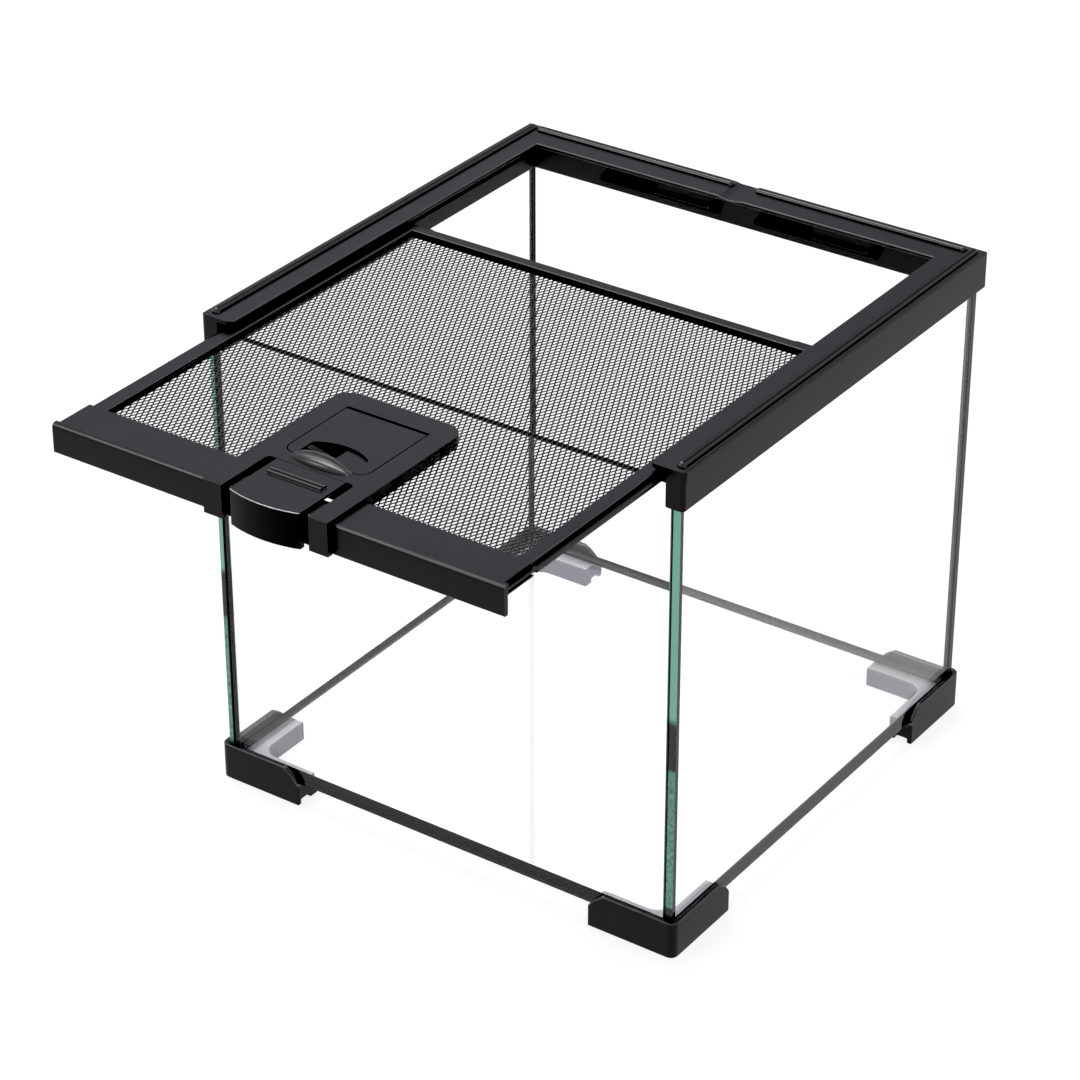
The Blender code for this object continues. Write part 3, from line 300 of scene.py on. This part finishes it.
satin_black = grained(new_material("satin_black_plastic", PLASTIC_BLACK, PLASTIC_ROUGHNESS, PLASTIC_SPECULAR),
                      PLASTIC_GRAIN, PLASTIC_SPREAD)
# A copy of the black with far higher reflectance for slanted faces: it paints highlight lines along the
# edges.
highlight_edge_black = grained(new_material("edge_highlight_plastic", PLASTIC_BLACK, EDGE_ROUGHNESS, EDGE_SPECULAR),
                     PLASTIC_GRAIN, PLASTIC_SPREAD)
shader_of(highlight_edge_black).inputs["IOR"].default_value = EDGE_IOR
# A pale paint on the feet's steps under the floor pane: a painted reflection of the back light in the glass.
step_reflection_paint = new_material("painted_reflection_on_foot_step", STEP_REFLECTION_WHITE, STEP_REFLECTION_ROUGHNESS, STEP_REFLECTION_SPECULAR)
moulded_shell("top_frame", "top_frame_moulding", "tank")
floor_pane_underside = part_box("pane_floor")[0].z
for corner in ("front_left", "front_right", "back_left", "back_right"):
    foot = moulded_shell("foot_" + corner, "corner_foot_" + corner, "tank")
    # The upward faces level with the floor pane's underside take the painted reflection.
    foot.data.materials.append(step_reflection_paint)
    for face in foot.data.polygons:
        if face.normal.z > FACES_UP and abs(face.center.z - floor_pane_underside) < STEP_LEVEL_PLAY:
            face.material_index = 2
moulded_shell("lid_frame", "lid_side_and_rear_rails", "lid")
moulded_shell("lid_front_bar", "lid_handle_bar", "lid")
plate = moulded_shell("latch_housing", "latch_plate", "lid")
# The faces above the door's top, the dome among them, take the reflective black: a painted highlight.
dome_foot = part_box("feeding_door")[1].z + MERGE
for face in plate.data.polygons:
    face.material_index = 1 if face.center.z > dome_foot else 0
moulded_shell("latch_clamp", "latch_under_plate", "lid")
moulded_shell("feeding_door", "feeding_hatch", "door", rounding=DOOR_ROUNDING)
for side in ("left", "right"):
    moulded_shell("cable_shutter_" + side, "cable_slider_" + side, "shutter_" + side)


# Lock tongue
# The same black, but its bowed front lip is polished and bare. A strip of far more reflective black
# along its upper edge paints a bright highlight line. The tongue and the latch plate are one piece at
# the root, so most of the gap there is closed.
LIP_BLACK = (0.0045, 0.004, 0.004)
LIP_ROUGHNESS = 0.11
LIP_SPECULAR = 0.1
LIP_EDGE_SPECULAR = 1.0
LIP_EDGE_IOR = 3.5
LIP_GRAIN = (0.0011, 0.0000004, 0.03)
LIP_SPREAD = 0.03
LIP_TOP = 0.97
LIP_FRONT = 0.25
TONGUE_ROUNDING = 0.0002
ROOT_DEPTH = 0.0005
ROOT_GROWTH = 0.0002

lip_black = grained(new_material("polished_black_plastic", LIP_BLACK, LIP_ROUGHNESS, LIP_SPECULAR),
                    LIP_GRAIN, LIP_SPREAD)
# A far more reflective black for the lip's upper edge: a painted highlight line.
lip_highlight_edge = grained(new_material("lip_edge_highlight", PLASTIC_BLACK, EDGE_ROUGHNESS, LIP_EDGE_SPECULAR),
                   LIP_GRAIN, LIP_SPREAD)
shader_of(lip_highlight_edge).inputs["IOR"].default_value = LIP_EDGE_IOR
tongue = moulded_shell("lock_tongue", "lock_tongue_lip", "tongue", TONGUE_ROUNDING)
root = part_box("lock_tongue")[1].y
for point in tongue.data.vertices:
    if point.co.y > root - ROOT_DEPTH:
        point.co.y += ROOT_GROWTH
tongue.data.materials.append(lip_black)
tongue.data.materials.append(lip_highlight_edge)
lip_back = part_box("lid_front_bar")[0].y
# Lip faces get the polished black, and those facing up and forward the painted highlight.
for face in tongue.data.polygons:
    if face.center.y < lip_back and face.normal.z < LIP_TOP:
        face.material_index = 3 if face.normal.z > LIP_FRONT else 2


# Glass panes
# Five panes of 3 mm float glass, glued edge to face. Their cut edges are ground, and painted green
# in lighter and darker stretches with dark bands by height: painted light and shade over the glass's
# own green; the back pane's edges are all in painted shade. Their faces are clear, and black where
# sealant wets them. Lamps shine through them without bending.
CLEAR_TINT = (0.99, 0.992, 0.991)
GLASS_IOR = 1.38
SHADOW_LOSS = 0.07
GROUND_EDGE = 0.0002
GROUND_GRAIN = (0.0006, 0.00001, 0.01)
GROUND_SPREAD = 0.15
GREEN_ROUGHNESS = 0.25
GREEN_SPECULAR = 0.4
GREY_ROUGHNESS = 0.3
GREY_SPECULAR = 0.3
EDGE_HIGH = (0.21, 0.53, 0.39)
EDGE_LOW = (0.12, 0.31, 0.235)
EDGE_DARK = (0.02, 0.023, 0.022)
EDGE_FOOT = (0.06, 0.055, 0.055)
EDGE_SPAN = 0.2
CHIP_TOP = 0.0745
EDGE_LEVELS = ((0.0088, EDGE_FOOT), (0.0093, EDGE_DARK), (0.0165, EDGE_DARK), (0.0172, EDGE_LOW),
               (CHIP_TOP, EDGE_LOW), (0.0755, EDGE_DARK), (0.094, EDGE_DARK), (0.097, EDGE_HIGH),
               (0.19, EDGE_HIGH))
EDGE_LEAN = 0.035
CHIP_SIZE = 0.0018
CHIP_DETAIL = 3.0
CHIP_CONTRAST = 2.2
SEALANT_AND_SHADE_BLACK = (0.024, 0.020, 0.020)
SEALANT_AND_SHADE_ROUGHNESS = 0.6
SEALANT_AND_SHADE_GRAIN = (0.0015, 0.00001, 0.012)
SEALANT_AND_SHADE_SPREAD = 0.1
SEAL_REACH = 0.00035
JOINT_PLAY = 0.00029
LEFT_SHADE = 0.001
FACES_FRONT = 0.5

clear_glass = new_material("clear_float_glass", CLEAR_TINT, 0.0)
glass_shader = shader_of(clear_glass)
glass_shader.inputs["Transmission Weight"].default_value = 1.0
glass_shader.inputs["IOR"].default_value = GLASS_IOR
c_nodes, c_links = clear_glass.node_tree.nodes, clear_glass.node_tree.links
light_path = c_nodes.new("ShaderNodeLightPath")
soft_ray = math_node(c_nodes, c_links, "MAXIMUM", light_path.outputs["Is Shadow Ray"],
                     light_path.outputs["Is Diffuse Ray"])
passed = math_node(c_nodes, c_links, "MULTIPLY", soft_ray, 1.0 - SHADOW_LOSS)
cover = math_node(c_nodes, c_links, "SUBTRACT", 1.0, passed)
c_links.new(cover, glass_shader.inputs["Alpha"])

green_edge = grained(new_material("ground_glass_edge", EDGE_HIGH, GREEN_ROUGHNESS, GREEN_SPECULAR),
                     GROUND_GRAIN, GROUND_SPREAD)
e_nodes, e_links = green_edge.node_tree.nodes, green_edge.node_tree.links
edge_place = e_nodes.new("ShaderNodeTexCoord").outputs["Object"]
edge_parts = e_nodes.new("ShaderNodeSeparateXYZ")
e_links.new(edge_place, edge_parts.inputs["Vector"])
# The ramp paints the edges lighter and darker by height: painted light and shade over the glass's own green.
edge_ramp = e_nodes.new("ShaderNodeValToRGB")
edge_stops = edge_ramp.color_ramp.elements
for stop, (level, colour) in zip(edge_stops, (EDGE_LEVELS[0], EDGE_LEVELS[-1])):
    stop.position, stop.color = level / EDGE_SPAN, (*colour, 1.0)
for level, colour in EDGE_LEVELS[1:-1]:
    edge_stops.new(level / EDGE_SPAN).color = (*colour, 1.0)
edge_height = math_node(e_nodes, e_links, "SUBTRACT", edge_parts.outputs["Z"],
                        math_node(e_nodes, e_links, "MULTIPLY", edge_parts.outputs["X"], EDGE_LEAN))
e_links.new(math_node(e_nodes, e_links, "DIVIDE", edge_height, EDGE_SPAN), edge_ramp.inputs["Fac"])
chips = noise_node(e_nodes, e_links, edge_place, CHIP_SIZE, CHIP_DETAIL)
low_share = math_node(e_nodes, e_links, "LESS_THAN", edge_parts.outputs["Z"], CHIP_TOP)
chip_depth = math_node(e_nodes, e_links, "MULTIPLY", low_share, CHIP_CONTRAST)
chipped = math_node(e_nodes, e_links, "MULTIPLY",
                    math_node(e_nodes, e_links, "SUBTRACT", chips, NOISE_MIDDLE), chip_depth)
chip_light = e_nodes.new("ShaderNodeVectorMath")
chip_light.operation = "SCALE"
e_links.new(edge_ramp.outputs["Color"], chip_light.inputs[0])
e_links.new(math_node(e_nodes, e_links, "ADD", chipped, 1.0), chip_light.inputs["Scale"])
e_links.new(chip_light.outputs["Vector"], shader_of(green_edge).inputs["Base Color"])
grey_edge = grained(new_material("shaded_glass_edge", EDGE_DARK, GREY_ROUGHNESS, GREY_SPECULAR),
                    GROUND_GRAIN, GROUND_SPREAD)
# Black for glass wet by sealant, also used as painted shade on the panes' top edges.
sealant_and_shade_glass = grained(new_material("glass_on_sealant_and_painted_shade", SEALANT_AND_SHADE_BLACK, SEALANT_AND_SHADE_ROUGHNESS, 0.0),
                       SEALANT_AND_SHADE_GRAIN, SEALANT_AND_SHADE_SPREAD)
seams = [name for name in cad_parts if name.startswith("seam_")]


def sealed_zones(low, high):
    """The boxes in which sealant wets a pane; round the floor they go down to its underside."""
    reach = Vector((SEAL_REACH,) * 3)
    zones = []
    for name in seams:
        near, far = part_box(name)
        near, far = near - reach, far + reach
        if "floor" in name:
            near.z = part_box("pane_floor")[0].z - SEAL_REACH
        if all(near[axis] < high[axis] and far[axis] > low[axis] for axis in range(3)):
            zones.append((near, far))
    return zones


def cut_across(axis, level):
    """Cuts new edges into the mesh in hand, where a plane square to an axis meets it."""
    way = Vector([1.0 if number == axis else 0.0 for number in range(3)])
    bpy.ops.mesh.select_all(action="SELECT")
    bpy.ops.mesh.bisect(plane_co=way * level, plane_no=way)


def ground_pane(node, edge_material):
    """A sheet of glass with ground arrises, whose narrow sides take the edge material.

    Its ends reach the sealant, and the faces there are black. The panes' top edges are black as well,
    painted shade, and so is a strip of the left pane's front edge, painted shade where the joint
    behind it shows through.
    """
    low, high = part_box(node)
    size = high - low
    thin = min(range(3), key=lambda axis: size[axis])
    zones = sealed_zones(low, high)
    solid_ends = low.copy(), high.copy()
    for near, far in zones:
        for axis in range(3):
            middle = (near[axis] + far[axis]) / 2
            if axis != thin and solid_ends[1][axis] < middle:
                high[axis] = solid_ends[1][axis] + JOINT_PLAY
            elif axis != thin and solid_ends[0][axis] > middle:
                low[axis] = solid_ends[0][axis] - JOINT_PLAY
    size = high - low
    bpy.ops.object.select_all(action="DESELECT")
    bpy.ops.mesh.primitive_cube_add(size=1.0, location=(low + high) / 2, scale=size)
    pane = bpy.context.object
    pane.name = node + "_sheet"
    bpy.ops.object.transform_apply(location=True, rotation=False, scale=True)
    bpy.ops.object.mode_set(mode="EDIT")
    bpy.ops.mesh.select_all(action="SELECT")
    bpy.ops.mesh.bevel(offset=GROUND_EDGE, segments=1, affect="EDGES")
    for near, far in zones:
        for axis in range(3):
            for level in (near[axis], far[axis]):
                if axis != thin and low[axis] + GROUND_EDGE < level < high[axis] - GROUND_EDGE:
                    cut_across(axis, level)
    if node == "pane_left":
        cut_across(0, high.x - LEFT_SHADE)
    bpy.ops.object.mode_set(mode="OBJECT")
    for material in (clear_glass, edge_material, sealant_and_shade_glass):
        pane.data.materials.append(material)
    for face in pane.data.polygons:
        wet = any(all(near[axis] < face.center[axis] < far[axis] for axis in range(3))
                  and face.normal.dot((near + far) / 2 - face.center) > 0.0 for near, far in zones)
        # The panes' top edges take the sealant black as painted shade under the frame and the mesh.
        top_edge = thin < 2 and face.normal.z > FACES_UP
        shaded = node == "pane_left" and face.normal.y < -FACES_FRONT and face.center.x > high.x - LEFT_SHADE
        clear = abs(face.normal[thin]) > FACES_UP
        face.material_index = 2 if wet or top_edge or shaded else 0 if clear else 1
    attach(pane, "tank")
    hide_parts(node)


for word in ("left", "right", "front", "back", "floor"):
    ground_pane("pane_" + word, grey_edge if word == "back" else green_edge)


# Silicone
# Black sealant fills the butt joints and is drawn into a small hollow fillet in every corner.
SILICONE_BLACK = (0.03, 0.028, 0.03)
SILICONE_ROUGHNESS = 0.42
SILICONE_SPECULAR = 0.4
SILICONE_GRAIN = (0.0015, 0.00002, 0.012)
SILICONE_SPREAD = 0.12

silicone = grained(new_material("black_sealant", SILICONE_BLACK, SILICONE_ROUGHNESS, SILICONE_SPECULAR),
                   SILICONE_GRAIN, SILICONE_SPREAD)
for name in seams:
    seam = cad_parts[name]
    seam.data.materials.clear()
    seam.data.materials.append(silicone)


# Hinge pin
# A short bright steel pin holds the feeding door. It lies inside the door's barrel, where hardly any
# of it shows.
STEEL = (0.55, 0.55, 0.56)
STEEL_ROUGHNESS = 0.28
STEEL_GRAIN = (0.0002, 0.000002, 0.004)
STEEL_SPREAD = 0.1

pin_steel = grained(new_material("drawn_steel", STEEL, STEEL_ROUGHNESS), STEEL_GRAIN, STEEL_SPREAD)
shader_of(pin_steel).inputs["Metallic"].default_value = 1.0
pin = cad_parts["door_hinge_pin"]
pin.data.materials.clear()
pin.data.materials.append(pin_steel)


# Lid mesh
# Expanded steel with a black coat: one sheet, slit and drawn into diamonds of about 2 by 4 mm. One
# diamond's strands are modelled, then set out in rows and columns and given the sheet's thickness.
HOLE_PITCH = Vector((0.00205, 0.0042))
STRAND = 0.0005
COLUMNS = 85
MESH_TUCK = 0.003
SHEET_THICKNESS = 0.0002
PORT_RIM = 0.0019
COAT_BLACK = (0.005, 0.0045, 0.005)
COAT_ROUGHNESS = 0.4
COAT_SPECULAR = 0.2
COAT_GRAIN = (0.0003, 0.00001, 0.02)
COAT_SPREAD = 0.1

coated_steel = grained(new_material("coated_steel", COAT_BLACK, COAT_ROUGHNESS, COAT_SPECULAR),
                       COAT_GRAIN, COAT_SPREAD)
sheet_low, sheet_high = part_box("lid_mesh")
mesh_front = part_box("lid_front_bar")[1].y - MESH_TUCK
rows = int((sheet_high.y - mesh_front) / (HOLE_PITCH.y / 2)) - 1
first = Vector((-(COLUMNS - 0.5) * HOLE_PITCH.x / 2, sheet_high.y - rows * HOLE_PITCH.y / 2,
                (sheet_low.z + sheet_high.z - SHEET_THICKNESS) / 2))
bpy.ops.object.select_all(action="DESELECT")
bpy.ops.mesh.primitive_circle_add(vertices=4, radius=HOLE_PITCH.x / 2, fill_type="NGON", location=first)
strands = bpy.context.object
strands.name = "expanded_mesh"
bpy.ops.object.transform_apply(location=True, rotation=False, scale=False)
bpy.ops.object.mode_set(mode="EDIT")
bpy.ops.mesh.select_all(action="SELECT")
bpy.ops.transform.resize(value=(1.0, HOLE_PITCH.y / HOLE_PITCH.x, 1.0), center_override=first)
bpy.ops.mesh.inset(thickness=STRAND / 2)
bpy.ops.mesh.delete(type="FACE")
bpy.ops.object.mode_set(mode="OBJECT")


def repeat(piece, count, step_by):
    """Sets out copies of a mesh at equal steps, joined where they touch."""
    step = piece.modifiers.new("repeat", "ARRAY")
    step.use_relative_offset = False
    step.use_constant_offset = True
    step.constant_offset_displace = step_by
    step.count = count
    step.use_merge_vertices = True
    step.merge_threshold = MERGE


repeat(strands, 2, (HOLE_PITCH.x / 2, HOLE_PITCH.y / 2, 0.0))
repeat(strands, COLUMNS, (HOLE_PITCH.x, 0.0, 0.0))
repeat(strands, rows // 2, (0.0, HOLE_PITCH.y, 0.0))
apply_modifiers(strands)

door_low, door_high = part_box("feeding_door")
bpy.ops.object.mode_set(mode="EDIT")
bpy.ops.mesh.select_all(action="SELECT")
bpy.ops.mesh.remove_doubles(threshold=MERGE)
bpy.ops.mesh.select_all(action="DESELECT")
bpy.ops.object.mode_set(mode="OBJECT")
for face in strands.data.polygons:
    face.select = (abs(face.center.x) < door_high.x - PORT_RIM + STRAND
                   and door_low.y + PORT_RIM - STRAND < face.center.y < door_high.y - 2 * PORT_RIM)
bpy.ops.object.mode_set(mode="EDIT")
bpy.ops.mesh.delete(type="FACE")
bpy.ops.mesh.select_all(action="SELECT")
bpy.ops.mesh.normals_make_consistent(inside=False)
bpy.ops.object.mode_set(mode="OBJECT")
sheet = strands.modifiers.new("sheet_thickness", "SOLIDIFY")
sheet.thickness = SHEET_THICKNESS
sheet.offset = 1.0
apply_modifiers(strands)
strands.data.materials.append(coated_steel)
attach(strands, "lid")
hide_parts("lid_mesh")
